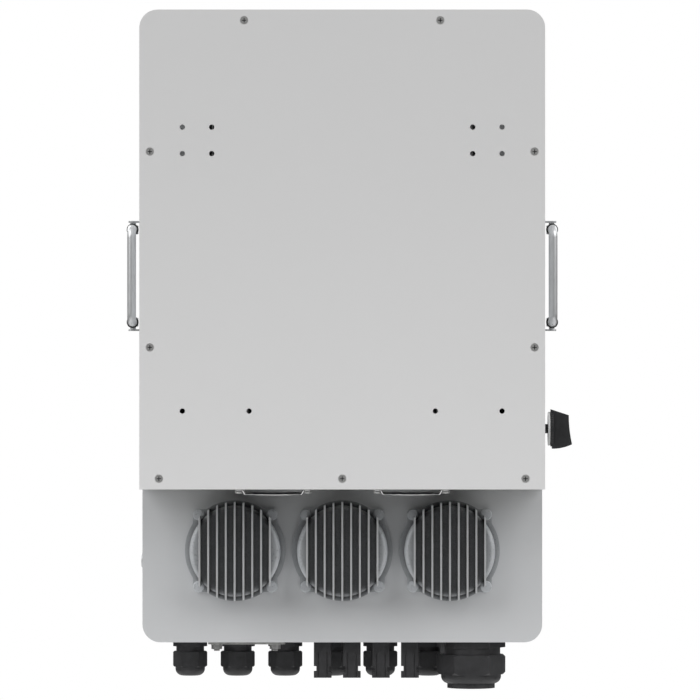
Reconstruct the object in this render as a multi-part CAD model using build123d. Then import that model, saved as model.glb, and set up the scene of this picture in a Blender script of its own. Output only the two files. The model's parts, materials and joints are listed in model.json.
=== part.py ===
from build123d import *

import os

# Wall-hung three-phase battery inverter, in millimetres, +Z up.
# The rear plate's outer face lies in the plane Y = 0 and the front faces -Y.
# "Depth" is the distance in front of that face, so a point at depth d has Y = -d.
# Left and right are as seen by a person who faces the front: right is +X.

# Enclosure
WIDTH = 422.0
TOP = 249.5
BOTTOM = -413.1
CORNER_R = 19.0
PLATE_T = 2.0
SHEET = 2.0
DUCT_T = 1.5
DUCT_DEPTH = 90.0
FLANGE_DEPTH = 249.0
SEAL_T = 2.0
FRONT = 277.8
BUTTON_PROUD = 1.2
COVER_SPLIT = -291.0
COVER_GAP = 1.5
FLANGE_W = 20.0
COVER_EDGE_R = 4.0
HALF = WIDTH / 2
PLATE_BOTTOM = -TOP

# Fasteners
M4_R = 2.0
M6_R = 3.0
FIT = 0.05
GAP = 0.3
SKIN = 0.1
HOLE_PLAY = 0.15
CUT = 1.0
PAN_R = 4.0
PAN_H = 2.6
CROSS_W = 1.0
CROSS_DEEP = 1.4
CROSS_SHALLOW = 1.2
PLATE_SCREW_L = 9.0
FAN_SCREW_L = 16.0
POT_SCREW_L = 5.5
HANDLE_SCREW_L = 8.0
COVER_SCREW_GRIP = 8.0

# Rear plate
PLATE_SCREWS = [(-102, 238.3), (102, 238.3), (-200, 101.8), (200, 101.8), (-200, -101.8), (200, -101.8),
                (-190.6, -238.3), (0, -238.3), (190.6, -238.3)]
FLAT_HEAD_R = 4.25
BRACKET_HOLE_R = 2.75
CLUSTER_X = 150.95
CLUSTER_Z = 113.45
CLUSTER_DX = 30.5
CLUSTER_DZ = 27.5
LOWER_HOLE_Z = -168.0
LOWER_HOLE_X = (96.9, 166.2)
NUT_R = 4.6
NUT_T = 3.6
LIP_W = 14.0
LIP_T = 1.5
LIP_H = 21.0
SCREW_REACH = 12.0

# Heat sink in the rear duct
SINK_X = 162.0
SINK_Z = (-190.0, 215.0)
SINK_BASE = 6.0
FIN_TIP = 10.0
FIN_T = 2.0
FIN_PITCH = 9.0
SINK_WINDOW_X = 150.0
SINK_WINDOW_Z = (-175.0, 200.0)
SLOT_H = 6.0
SLOT_PITCH = 12.0
SLOT_DEPTHS = (16.0, 76.0)
SIDE_SLOTS = 9
SIDE_SLOT_TOP = TOP - 36.0
TOP_SLOTS = 25
TOP_SLOT_DEEP = 8.0

# Fans in the bottom of the duct
FAN_X = 72.0
FAN_DEPTH = 45.0
FAN_SIZE = 80.0
FAN_H = 25.0
FAN_BORE_R = 38.0
FAN_HOLE = 35.75
FAN_TIP_R = 37.3
FAN_HUB_R = 18.0
FAN_CORNER_R = 4.0
FAN_WAIST_W = 60.0
FAN_FLANGE_T = 4.5
FAN_WALL = 1.2
HUB_PLATE_T = 2.5
STRUTS = 4
STRUT_W = 3.4
STRUT_T = 3.5
STRUT_TURN = 20.0
BLADES = 7
BLADE_T = 1.3
BLADE_ROOT = (FAN_HUB_R - 1.0, 48.0, 17.0)
BLADE_END = (FAN_TIP_R + 1.0, 28.0, 25.0)
ROTOR_LOW = 1.2
ROTOR_TOP = 4.0
HUB_WALL = 2.5
BEARING_R = 4.0
BEARING_LOW = 5.0
FAN_SHAFT_R = 1.5
GUARD_WIRE = 0.8
GUARD_RINGS = (9.0, 16.0, 23.0, 30.0)
GUARD_LOW = -255.2
GUARD_KNEE = 42.0
GUARD_BENDS = [2.0, 1.5]
EYE_R = 3.3
EYE_LEAD = 2.2

# Inductor pots on the lower rear wall
POT_X = (-113.0, 0.0, 113.0)
POT_Z = -316.1
POT_R = 47.75
POT_WALL = 3.5
POT_CROWN = 64.0
POT_FIN_R = 51.7
POT_FIN_TIP = 54.0
POT_FIN_T = 2.0
POT_FIN_PITCH = 9.25
POT_FINS = 9
POT_FLANGE_R = 53.0
POT_FLANGE_T = 4.0
POT_EAR = (89.0, 87.4)
POT_EAR_R = 9.0
POT_EDGE_R = 5.0
POT_SCREW = (38.6, 38.0)
GASKET_T = 1.0
CORE_R = (17.0, 31.0)
CORE_DEPTH = (76.0, 112.0)
COIL_R = (11.0, 37.0)
COIL_DEPTH = (70.5, 117.5)
COIL_GROOVES = 24
COIL_GROOVE = (4.0, 1.6)

# Cable glands under the bottom wall
GLANDS = 6
GLAND_PITCH = 50.8
GLAND_FIRST_X = 162.7
GLAND_X = [GLAND_FIRST_X - GLAND_PITCH * n for n in range(GLANDS)]
GLAND_DEPTH = 165.0
GLAND_AC_R = 18.25
GLAND_THREAD_R = 12.5
GLAND_Z = (-421.0, -425.8, -442.8, -452.2)
GLAND_NECK_R = 14.85
GLAND_DOME_R = 15.75
GLAND_SEAL_R = 7.5
BIG_X = -136.7
BIG_DEPTH = 130.0
BIG_AC_R = 36.5
BIG_THREAD_R = 25.0
BIG_Z = (-420.2, -427.2, -448.8, -458.4, -463.2)
BIG_NECK_R = 31.0
BIG_DOME_R = 31.85
BIG_LIP_R = 25.25
BIG_SEAL_R = 17.0
LOCKNUT_T = 5.0
STUB = 14.0
SLEEVE_WALL = 2.15
SLEEVE_STEP = 2.4
MOUTH_GAP = 1.4
NUT_SKIRT = 1.6
DOME_SHARE = 0.8
HEX_CHAMFER = 0.07

# Solar input connectors
PV_X = (20.8, -10.0, -40.8, -71.6)
PV_DEPTH = 114.0
PV_W = 18.8
PV_LOW = -451.4
PV_NOTCH_Z = (-445.0, -439.0)
PV_NOTCH = 2.7
PV_THREAD_R = 8.0
PV_NUT_R = 11.5
PV_CORNER_R = 2.0
PV_GROOVE_X = 4.6
PV_GROOVE = (0.5, 0.8)
PV_GROOVE_TOP = BOTTOM - 12.0
PV_BORE_R = 3.2
PV_BORE_L = 24.0

# Earth bar and signal connector
EARTH_X = (60.7, 142.2)
EARTH_DEPTH = (105.0, 119.0)
EARTH_T = 3.0
EARTH_BOLT_X = (71.3, 133.0)
EARTH_END_R = 5.0
EARTH_HOLES = 3
EARTH_HOLE_R = 2.5
EARTH_HOLE_PITCH = 15.0
WASHER = (6.0, 1.2)
BOLT_HEAD = (5.77, 4.0)
BOLT_TIP = 1.8
SIGNAL_X = -106.0
SIGNAL_DEPTH = 100.0
SIGNAL_R = 3.1
SIGNAL_LOW = BOTTOM - 12.0
SIGNAL_HEX = (5.4, 2.5)
SIGNAL_BORE = (2.1, 6.0)

# DC switch on the left wall
SWITCH_DEPTH = 170.0
SWITCH_Z = -188.7
SWITCH_CASE = (46.0, 52.0, 60.0)
STUB_R = 11.0
STUB_OUT = 5.0
NECK_R = 5.0
COLLAR = (8.8, 11.2)
COLLAR_R = 18.0
SKIRT = (11.5, 14.5)
SKIRT_R = 19.0
SKIRT_TEETH = 40
SKIRT_TOOTH = 1.2
GRIP_W = 15.0
GRIP_CORNERS = [(20.9, 11.6), (14.6, 30.9), (-16.6, 34.4), (-21.3, 13.2)]
GRIP_END_MIDDLE = (-2.0, 31.9)
GRIP_UNDER_MIDDLE = (-20.2, 24.0)
KNOB_SHAFT_R = 3.2
KNOB_SHAFT_IN = -40.0

# Folding handles on the side walls
HANDLE_Z = -25.6
BAR_R = 4.7
GRIP_OUT = 12.2
PIVOT_DEPTH = 152.0
GRIP_DEPTH = 110.0
LEG_Z = 49.2
LEG_COLLAR = (138.0, 141.0)
LEG_COLLAR_R = 6.4
BEND_R = 9.0
EAR_Z = (56.8, 58.6)
HANDLE_PIN_R = 3.0
BRACKET_D = (136.0, 168.0)
BRACKET_T = 2.0
BRACKET_R = 3.0
EAR_HALF = 8.0
EAR_TIP_R = 4.0
EAR_MARGIN = 1.8
BRACKET_SCREW_D = (143.0, 161.0)
BRACKET_SCREW_Z = 33.0

# Front panel
WINDOW_Z = 120.0
WINDOW = (110.0, 64.0)
WINDOW_T = 2.0
WINDOW_R = 4.0
TRAY_RIM = 5.0
TRAY_BACK = 9.0
SCREEN_RIM = 6.0
BUTTON_Z = 62.0
BUTTON_X = (-45.0, -15.0, 15.0, 45.0)
BUTTON = (18.0, 11.0)
BUTTON_R = 3.0
BUTTON_DEEP = 5.0
BUTTON_EDGE_R = 0.8
BUTTON_COLLAR = (1.6, 1.5)
STEM_R = 2.2
STEM = (8.0, 4.0)
LIGHT_Z = 172.0
LIGHT_X = (-36.0, -12.0, 12.0, 36.0)
LIGHT_R = 2.6
LIGHT_DEEP = 8.0
LIGHT_RIM = 0.8
CONTROL_BOARD_X = 75.0
CONTROL_BOARD_Z = (40.0, 184.0)
KEY_SWITCH = 3.0
POWER_Z = -330.0
POWER_DEPTH = 200.0
POWER_R = 8.0
POWER_OUT = 5.0
POWER_IN = -9.0
POWER_RIM = (-4.2, -2.6)
POWER_BEZEL_R = 12.5
POWER_BEZEL_T = 2.2
POWER_BODY_R = 10.0
POWER_BODY_IN = -16.0
POWER_WELL_IN = -12.0
POWER_NUT_IN = -7.0
SIDE_SCREW = 12.0
CORNER_SCREW = 19.5
COVER_BOSS_R = 5.6
COVER_HOLE_PLAY = 0.3
HEAD_POCKET = 3.4
HEAD_PLAY = 0.5
MOUTH_R = 5.0
SEAL_EDGES = (0.8, 5.5)
EDGE_X = (-HALF + SIDE_SCREW, HALF - SIDE_SCREW)
FRONT_SCREWS = [(x, z) for z in (TOP - CORNER_SCREW, 62.0, -112.0, -276.0) for x in EDGE_X]
WIRING_SCREWS = [(x, z) for z in (-306.0, BOTTOM + CORNER_SCREW) for x in EDGE_X]
WIRING_SCREWS += [(-66.0, BOTTOM + SIDE_SCREW), (66.0, BOTTOM + SIDE_SCREW)]

# Boards and parts inside
BOARD_T = 2.0
BOARD_DEPTH = 104.0
BOARD_FRONT = BOARD_DEPTH + BOARD_T
BOARD_X = 170.0
BOARD_Z = (-165.0, 215.0)
MODULE = (62.0, 12.0, 48.0)
MODULE_X = (-90.0, 0.0, 90.0)
MODULE_Z = (110.0, -60.0)
STANDOFF_R = 4.0
STANDOFF_X = BOARD_X - 8.0
STANDOFF_Z = (-155.0, 25.0, 205.0)
CAPACITOR = (15.0, 45.0)
CAPACITOR_X = (-125.0, -75.0, -25.0, 25.0, 75.0, 125.0)
CAPACITOR_Z = (-20.0, 15.0)
RELAY = (30.0, 22.0, 24.0)
RELAY_X = (-100.0, -50.0, 0.0, 50.0, 100.0)
RELAY_Z = (-140.0, -105.0)
TRANSFORMER = (76.0, 70.0, 70.0)
TRANSFORMER_X = (-75.0, 75.0)
TRANSFORMER_Z = 110.0
TRANSFORMER_R = 6.0
TERMINAL_DEPTH = FLANGE_DEPTH - 60.0
AC_ROW_X = (-60.0, 180.0)
AC_ROW_T = 32.0
AC_ROW_Z = (-372.0, -340.0)
AC_CLAMPS = 14
AC_CLAMP_FIRST = -50.0
AC_CLAMP_PITCH = 17.0
AC_SCREW = (5.0, 12.0)
AC_ENTRY = (4.0, 6.0, 18.0)
LUG_X = (-160.0, -110.0)
LUG = (24.0, 5.0)
LUG_Z = (-380.0, -330.0)
STUD_Z = -366.0
STUD = (4.0, 22.0)


def middle(span):
    return (span[0] + span[1]) / 2


def block(x, depth, z):
    """Box between low and high values; depth is counted forwards from the rear plate."""
    size = (x[1] - x[0], depth[1] - depth[0], z[1] - z[0])
    return Pos(middle(x), -middle(depth), middle(z)) * Box(*size)


def rod_x(x, depth, z, r):
    return Pos(middle(x), -depth, z) * Rot(0, 90, 0) * Cylinder(r, x[1] - x[0])


def rod_y(x, depth, z, r):
    return Pos(x, -middle(depth), z) * Rot(90, 0, 0) * Cylinder(r, depth[1] - depth[0])


def rod_z(x, depth, z, r):
    return Pos(x, -depth, middle(z)) * Cylinder(r, z[1] - z[0])


def hex_z(x, depth, z, corner_r):
    """Vertical hexagonal prism with two corners on the X axis."""
    prism = extrude(RegularPolygon(corner_r, 6), amount=z[1] - z[0])
    return Pos(x, -depth, z[0]) * prism


def slab(outline, depth):
    """Extrude an outline drawn in X and Z between two depths."""
    return Pos(0, -depth[0], 0) * extrude(Plane.XZ * outline, amount=depth[1] - depth[0])


def outline(z, inset=0.0, top=True, bottom=True):
    """Enclosure outline between two heights, with rounded top or bottom corners."""
    shape = Pos(0, middle(z)) * Rectangle(WIDTH - 2 * inset, z[1] - z[0] - 2 * inset)
    rows = shape.vertices().group_by(Axis.Y)
    corners = (rows[-1] if top else []) + (rows[0] if bottom else [])
    return fillet(corners, CORNER_R - inset)


def mirrored(shape):
    return mirror(shape, Plane.YZ)


def rear_point(x, z):
    """Working plane on the rear plate, looking out of the wall side."""
    return Plane(origin=(x, 0, z), x_dir=(-1, 0, 0), z_dir=(0, 1, 0))


def front_point(x, z, depth):
    """Working plane at a depth, looking out of the front."""
    return Plane(origin=(x, -depth, z), x_dir=(1, 0, 0), z_dir=(0, -1, 0))


def right_point(depth, z, out=0.0):
    """Working plane on the right wall, looking outwards."""
    return Plane(origin=(HALF + out, -depth, z), x_dir=(0, 1, 0), z_dir=(1, 0, 0))


def left_point(depth, z, out=0.0):
    """Working plane on the left wall, looking outwards."""
    return Plane(origin=(-HALF - out, -depth, z), x_dir=(0, -1, 0), z_dir=(-1, 0, 0))


def around(x, depth, z, size):
    """Box of a given width and height centred at (x, z), from a depth forwards."""
    wide, deep, tall = size
    return block((x - wide / 2, x + wide / 2), (depth, depth + deep), (z - tall / 2, z + tall / 2))


def stack(r, low, high):
    """Cylinder on the local Z axis between two heights."""
    return Pos(0, 0, (low + high) / 2) * Cylinder(r, high - low)


def cross(head_r, top, sink=CROSS_DEEP):
    """Cross recess cut into the top of a screw head."""
    long = head_r * 1.15
    arm = Pos(0, 0, top - sink / 2) * Box(long, CROSS_W, sink)
    return arm + Rot(0, 0, 90) * arm


def pan_screw(length, r=M4_R, head_r=PAN_R, head_h=PAN_H):
    """Pan-head screw: head above the local plane, shank below it."""
    head = stack(head_r, 0, head_h)
    head = fillet(head.edges().group_by(Axis.Z)[-1], head_h * 0.4)
    return head - cross(head_r, head_h) + stack(r, -length, 0)


def flat_screw(length):
    """Countersunk screw, flush with the local plane."""
    head = Pos(0, 0, -PLATE_T / 2) * Cone(FLAT_HEAD_R - PLATE_T, FLAT_HEAD_R, PLATE_T)
    return head - cross(FLAT_HEAD_R, 0, CROSS_SHALLOW) + stack(M4_R, -length, -PLATE_T)


def bracket_holes():
    """Centres of the threaded holes for the wall bracket."""
    upper = [(side * (CLUSTER_X + dx * CLUSTER_DX / 2), CLUSTER_Z + dz * CLUSTER_DZ / 2)
             for side in (-1, 1) for dx in (-1, 1) for dz in (-1, 1)]
    lower = [(side * x, LOWER_HOLE_Z) for side in (-1, 1) for x in LOWER_HOLE_X]
    return upper + lower


# ---------------------------------------------------------------- rear duct

def rear_cover_plate():
    plate = slab(outline((PLATE_BOTTOM, TOP), bottom=False), (0, PLATE_T))
    for x, z in PLATE_SCREWS:
        sink = Pos(0, 0, -PLATE_T / 2) * Cone(FLAT_HEAD_R - PLATE_T + FIT, FLAT_HEAD_R + FIT, PLATE_T)
        plate -= rear_point(x, z) * sink
    for x, z in bracket_holes():
        plate -= rod_y(x, (-1, PLATE_T + 1), z, BRACKET_HOLE_R)
    return plate


def rear_plate_screws():
    return [rear_point(x, z) * flat_screw(PLATE_SCREW_L) for x, z in PLATE_SCREWS]


def bracket_press_nuts():
    nuts = []
    for x, z in bracket_holes():
        ring = rod_y(x, (PLATE_T, PLATE_T + NUT_T), z, NUT_R)
        nuts.append(ring - rod_y(x, (0, 2 * NUT_T + PLATE_T), z, BRACKET_HOLE_R))
    return nuts


def duct_frame():
    """Sheet frame behind the rear plate: two sides and a top, with exhaust slots."""
    z = (PLATE_BOTTOM, TOP)
    frame = slab(outline(z, bottom=False), (PLATE_T, DUCT_DEPTH))
    below = block((-HALF, HALF), (0, DUCT_DEPTH + CUT), (PLATE_BOTTOM - CUT, PLATE_BOTTOM + LIP_W + DUCT_T))
    room = slab(outline(z, DUCT_T, bottom=False), (PLATE_T + LIP_T, DUCT_DEPTH - LIP_T))
    mouth = slab(outline(z, DUCT_T + LIP_W, bottom=False), (0, DUCT_DEPTH + 1))
    inner_x = HALF - DUCT_T
    foot = block((-inner_x, inner_x), (PLATE_T + LIP_T, DUCT_DEPTH - LIP_T), (PLATE_BOTTOM - 1, 0))
    lip_x = inner_x - LIP_W
    foot += block((-lip_x, lip_x), (0, DUCT_DEPTH + 1), (PLATE_BOTTOM - 1, 0)) & below
    frame -= room + mouth + foot
    for n in range(SIDE_SLOTS):
        slot_z = SIDE_SLOT_TOP - n * SLOT_PITCH
        frame -= block((-HALF - CUT, HALF + CUT), SLOT_DEPTHS, (slot_z - SLOT_H / 2, slot_z + SLOT_H / 2))
    for n in range(TOP_SLOTS):
        slot_x = (n - (TOP_SLOTS - 1) / 2) * SLOT_PITCH
        span = (slot_x - SLOT_H / 2, slot_x + SLOT_H / 2)
        frame -= block(span, SLOT_DEPTHS, (TOP - TOP_SLOT_DEEP, TOP + CUT))
    for x, screw_z in PLATE_SCREWS:
        frame -= rod_y(x, (0, SCREW_REACH), screw_z, M4_R + FIT)
    return frame


def heatsink():
    """Extruded aluminium heat sink with upright fins."""
    sink = block((-SINK_X, SINK_X), (DUCT_DEPTH - SINK_BASE, DUCT_DEPTH), SINK_Z)
    count = int(SINK_X // FIN_PITCH)
    for n in range(-count, count + 1):
        x = n * FIN_PITCH
        sink += block((x - FIN_T / 2, x + FIN_T / 2), (FIN_TIP, DUCT_DEPTH - SINK_BASE), SINK_Z)
    return sink


def fan_holes(fan_x):
    return [(fan_x + i * FAN_HOLE, FAN_DEPTH + j * FAN_HOLE) for i in (-1, 1) for j in (-1, 1)]


def fan_plate():
    """Floor of the duct that carries the fans, with a turned-up lip behind the rear plate."""
    z = (PLATE_BOTTOM, PLATE_BOTTOM + SHEET)
    x = HALF - DUCT_T - SKIN
    lip_x = x - LIP_W - SKIN
    plate = block((-x, x), (PLATE_T + LIP_T + SKIN, DUCT_DEPTH - LIP_T - SKIN), z)
    plate += block((-lip_x, lip_x), (PLATE_T, PLATE_T + LIP_T + SKIN), z)
    plate += block((-lip_x, lip_x), (PLATE_T, PLATE_T + LIP_T), (z[0], PLATE_BOTTOM + LIP_H))
    for fan_x in (-FAN_X, FAN_X):
        plate -= rod_z(fan_x, FAN_DEPTH, (z[0] - CUT, z[1] + CUT), FAN_BORE_R)
        for hole_x, hole_d in fan_holes(fan_x):
            plate -= rod_z(hole_x, hole_d, (z[0] - CUT, z[1] + CUT), M4_R + HOLE_PLAY)
    for screw_x, screw_z in PLATE_SCREWS:
        plate -= rod_y(screw_x, (0, SCREW_REACH), screw_z, M4_R + FIT)
    return plate


def fan_frame(fan_x):
    """Square fan housing with a hub plate, four struts and the bearing tube on top."""
    low = PLATE_BOTTOM + SHEET
    high = low + FAN_H
    square = RectangleRounded(FAN_SIZE, FAN_SIZE, FAN_CORNER_R)
    frame = Pos(fan_x, -FAN_DEPTH, low) * extrude(square, amount=FAN_H)
    frame -= rod_z(fan_x, FAN_DEPTH, (low - CUT, high + CUT), FAN_BORE_R)
    for hole_x, hole_d in fan_holes(fan_x):
        frame -= rod_z(hole_x, hole_d, (low - CUT, high + CUT), M4_R + HOLE_PLAY)
    waist = Box(FAN_SIZE, FAN_WAIST_W, FAN_H - 2 * FAN_FLANGE_T) - Box(FAN_SIZE - 2 * CUT, FAN_WAIST_W, FAN_H)
    waist -= Cylinder(FAN_BORE_R + FAN_WALL, FAN_H)
    centre = Pos(fan_x, -FAN_DEPTH, middle((low, high)))
    frame -= centre * waist
    frame -= centre * Rot(0, 0, 90) * waist
    hub = rod_z(fan_x, FAN_DEPTH, (high - HUB_PLATE_T, high), FAN_HUB_R - CUT / 2)
    span = FAN_BORE_R - FAN_HUB_R + 4 * CUT
    for n in range(STRUTS):
        strut = Pos(middle((FAN_HUB_R, FAN_BORE_R)), 0, high - STRUT_T / 2) * Box(span, STRUT_W, STRUT_T)
        hub += Pos(fan_x, -FAN_DEPTH, 0) * Rot(0, 0, STRUT_TURN + 360 / STRUTS * n) * strut
    hub &= rod_z(fan_x, FAN_DEPTH, (low, high), FAN_BORE_R + CUT / 2)
    frame += hub
    frame += rod_z(fan_x, FAN_DEPTH, (low + BEARING_LOW, high - CUT), BEARING_R)
    return frame - rod_z(fan_x, FAN_DEPTH, (low + BEARING_LOW - CUT, high - 1.2 * CUT), FAN_SHAFT_R + FIT)


def fan_blade(angle, z):
    """One twisted blade between the hub and the tip circle."""
    sections = []
    for r, pitch, chord in (BLADE_ROOT, BLADE_END):
        plane = Plane(origin=(r, 0, z), x_dir=(0, 1, 0), z_dir=(1, 0, 0))
        sections.append(plane * Rot(0, 0, pitch) * Rectangle(chord, BLADE_T))
    blade = loft(sections, ruled=True)
    return Rot(0, 0, angle) * blade


def fan_rotor(fan_x):
    """Hub cup open upwards, with its shaft and blades."""
    low = PLATE_BOTTOM + SHEET + ROTOR_LOW
    high = PLATE_BOTTOM + SHEET + FAN_H - ROTOR_TOP
    middle_z = middle((low, high))
    rotor = stack(FAN_HUB_R, low, high)
    rotor = fillet(rotor.edges().group_by(Axis.Z)[0], 1.5)
    band = stack(FAN_TIP_R, low + GAP, high - GAP)
    for n in range(BLADES):
        rotor += fan_blade(360.0 * n / BLADES, middle_z) & band
    rotor -= stack(FAN_HUB_R - HUB_WALL, low + HUB_WALL, high + CUT)
    rotor += stack(FAN_SHAFT_R, low + HUB_WALL - CUT, high + 1.5 * CUT)
    return Pos(fan_x, -FAN_DEPTH, 0) * rotor


def wire(points, bends):
    """Round guard wire along straight runs with bent corners."""
    path = FilletPolyline(*points, radius=bends)
    start = Plane(origin=path @ 0, z_dir=path % 0)
    return sweep(start * Circle(GUARD_WIRE), path=path)


def fan_guard(fan_x):
    """Wire finger guard: rings, four bent arms and four screw eyes."""
    eye_z = PLATE_BOTTOM - GUARD_WIRE - FIT
    eye_reach = FAN_HOLE * 2 ** 0.5
    arm_z = GUARD_LOW + GUARD_WIRE * 0.625
    guard = None
    for r in GUARD_RINGS:
        ring = Pos(0, 0, GUARD_LOW) * Torus(r, GUARD_WIRE)
        guard = ring if guard is None else guard + ring
    arm = wire([(GUARD_RINGS[0] - 1.0, 0, arm_z), (GUARD_KNEE, 0, arm_z),
                (eye_reach - EYE_R - EYE_LEAD, 0, eye_z), (eye_reach - EYE_R, 0, eye_z)], GUARD_BENDS)
    arm += Pos(eye_reach, 0, eye_z) * Torus(EYE_R, GUARD_WIRE)
    for n in range(4):
        guard += Rot(0, 0, 45 + 90 * n) * arm
    return Pos(fan_x, -FAN_DEPTH, 0) * guard


def fan_screws():
    screws = []
    seat = PLATE_BOTTOM - 2 * GUARD_WIRE - SKIN
    for fan_x in (-FAN_X, FAN_X):
        for hole_x, hole_d in fan_holes(fan_x):
            plane = Plane(origin=(hole_x, -hole_d, seat), x_dir=(1, 0, 0), z_dir=(0, 0, -1))
            screws.append(plane * pan_screw(FAN_SCREW_L))
    return screws


# ---------------------------------------------------------------- main housing

def pot_screw_points(pot_x):
    return [(pot_x + i * POT_SCREW[0], POT_Z + j * POT_SCREW[1]) for i in (-1, 1) for j in (-1, 1)]


def bracket_screw_points():
    return [(d, HANDLE_Z + side * BRACKET_SCREW_Z) for d in BRACKET_SCREW_D for side in (-1, 1)]


def main_housing():
    """Welded sheet box with a front flange, open to two covers."""
    z = (BOTTOM, TOP)
    box = slab(outline(z), (DUCT_DEPTH, FLANGE_DEPTH))
    box -= slab(outline(z, SHEET), (DUCT_DEPTH + SHEET, FLANGE_DEPTH - SHEET))
    mouth_x = HALF - FLANGE_W
    rail = FLANGE_W / 2
    for mouth_z in ((COVER_SPLIT + rail, TOP - FLANGE_W), (BOTTOM + FLANGE_W, COVER_SPLIT - rail)):
        shape = Pos(0, middle(mouth_z)) * RectangleRounded(2 * mouth_x, mouth_z[1] - mouth_z[0], MOUTH_R)
        box -= slab(shape, (FLANGE_DEPTH - SHEET - CUT, FLANGE_DEPTH + CUT))
    rear = (DUCT_DEPTH - CUT, DUCT_DEPTH + SHEET + CUT)
    box -= block((-SINK_WINDOW_X, SINK_WINDOW_X), rear, SINK_WINDOW_Z)
    for pot_x in POT_X:
        box -= rod_y(pot_x, rear, POT_Z, POT_R - POT_WALL)
        for x, screw_z in pot_screw_points(pot_x):
            box -= rod_y(x, rear, screw_z, M4_R + HOLE_PLAY)
    for x, screw_z in FRONT_SCREWS + WIRING_SCREWS:
        box -= rod_y(x, (FLANGE_DEPTH - SHEET - CUT, FLANGE_DEPTH + CUT), screw_z, M4_R + FIT)
    return box - bottom_wall_holes() - side_wall_holes()


def bottom_wall_holes():
    span = (BOTTOM - CUT, BOTTOM + SHEET + CUT)
    holes = rod_z(BIG_X, BIG_DEPTH, span, BIG_THREAD_R + GAP)
    for x in GLAND_X:
        holes += rod_z(x, GLAND_DEPTH, span, GLAND_THREAD_R + GAP)
    for x in PV_X:
        holes += rod_z(x, PV_DEPTH, span, PV_THREAD_R + GAP)
    for x in EARTH_BOLT_X:
        holes += rod_z(x, middle(EARTH_DEPTH), span, M6_R + FIT)
    return holes + rod_z(SIGNAL_X, SIGNAL_DEPTH, span, SIGNAL_R + HOLE_PLAY)


def side_wall_holes():
    right = (HALF - SHEET - CUT, HALF + CUT)
    left = (-HALF - CUT, -HALF + SHEET + CUT)
    holes = rod_x(left, SWITCH_DEPTH, SWITCH_Z, STUB_R + GAP)
    holes += rod_x(right, POWER_DEPTH, POWER_Z, POWER_BODY_R + GAP)
    for depth, z in bracket_screw_points():
        holes += rod_x(right, depth, z, M4_R + FIT)
        holes += rod_x(left, depth, z, M4_R + FIT)
    return holes


# ---------------------------------------------------------------- inductors

def inductor_pot(pot_x):
    """Cast cup with nine upright fins, a round flange and four ears."""
    seat = DUCT_DEPTH - GASKET_T
    flange = (seat - POT_FLANGE_T, seat)
    cup = rod_y(0, (POT_CROWN, seat), 0, POT_R)
    cup = fillet(cup.edges().group_by(Axis.Y)[-1], POT_EDGE_R)
    rim = rod_y(0, flange, 0, POT_FLANGE_R) + slab(RectangleRounded(*POT_EAR, POT_EAR_R), flange)
    fins = None
    for n in range(POT_FINS):
        x = (n - (POT_FINS - 1) / 2) * POT_FIN_PITCH
        fin = block((x - POT_FIN_T / 2, x + POT_FIN_T / 2), (POT_FIN_TIP, flange[1] - CUT),
                    (-POT_FIN_R, POT_FIN_R))
        fins = fin if fins is None else fins + fin
    fins &= rod_y(0, (POT_FIN_TIP, seat), 0, POT_FIN_R)
    pot = cup + rim + fins
    pot -= rod_y(0, (POT_CROWN + POT_WALL, DUCT_DEPTH), 0, POT_R - POT_WALL)
    for x, z in pot_screw_points(0):
        pot -= rod_y(x, (flange[0] + CUT, DUCT_DEPTH), z - POT_Z, M4_R + FIT)
    return Pos(pot_x, 0, POT_Z) * pot


def pot_gaskets():
    gaskets = []
    for pot_x in POT_X:
        span = (DUCT_DEPTH - GASKET_T, DUCT_DEPTH)
        ring = rod_y(0, span, 0, POT_FLANGE_R - CUT)
        ring += slab(RectangleRounded(POT_EAR[0] - 2 * CUT, POT_EAR[1] - 2 * CUT, POT_EAR_R - CUT), span)
        ring -= rod_y(0, (0, FLANGE_DEPTH), 0, POT_R - POT_WALL)
        for x, z in pot_screw_points(0):
            ring -= rod_y(x, (0, FLANGE_DEPTH), z - POT_Z, M4_R + FIT)
        gaskets.append(Pos(pot_x, 0, POT_Z) * ring)
    return gaskets


def pot_screws():
    screws = []
    for pot_x in POT_X:
        for x, z in pot_screw_points(pot_x):
            screws.append(front_point(x, z, DUCT_DEPTH + SHEET) * pan_screw(POT_SCREW_L))
    return screws


def inductor_cores():
    return [rod_y(x, CORE_DEPTH, POT_Z, CORE_R[1]) - rod_y(x, COIL_DEPTH, POT_Z, CORE_R[0]) for x in POT_X]


def inductor_windings():
    """Enamelled copper wound round each ring core, drawn as one ribbed sleeve."""
    whole = (COIL_DEPTH[0] - CUT, COIL_DEPTH[1] + CUT)
    room = (CORE_DEPTH[0] - FIT, CORE_DEPTH[1] + FIT)
    sleeve = rod_y(0, COIL_DEPTH, 0, COIL_R[1]) - rod_y(0, whole, 0, COIL_R[0])
    sleeve -= rod_y(0, room, 0, CORE_R[1] + FIT) - rod_y(0, whole, 0, CORE_R[0] - FIT)
    groove = Pos(COIL_R[1], -middle(whole), 0) * Box(COIL_GROOVE[0], whole[1] - whole[0], COIL_GROOVE[1])
    for n in range(COIL_GROOVES):
        sleeve -= Rot(0, 360 / COIL_GROOVES * n, 0) * groove
    return [Pos(x, 0, POT_Z) * sleeve for x in POT_X]


# ---------------------------------------------------------------- covers

def cover_screw_cuts(cover, points):
    for x, z in points:
        cover += rod_y(x, (FLANGE_DEPTH + FIT, FRONT - SHEET), z, COVER_BOSS_R)
        cover -= rod_y(x, (FLANGE_DEPTH - CUT, FRONT), z, M4_R + COVER_HOLE_PLAY)
        cover -= rod_y(x, (FRONT - HEAD_POCKET, FRONT + CUT), z, PAN_R + HEAD_PLAY)
    return cover


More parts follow.
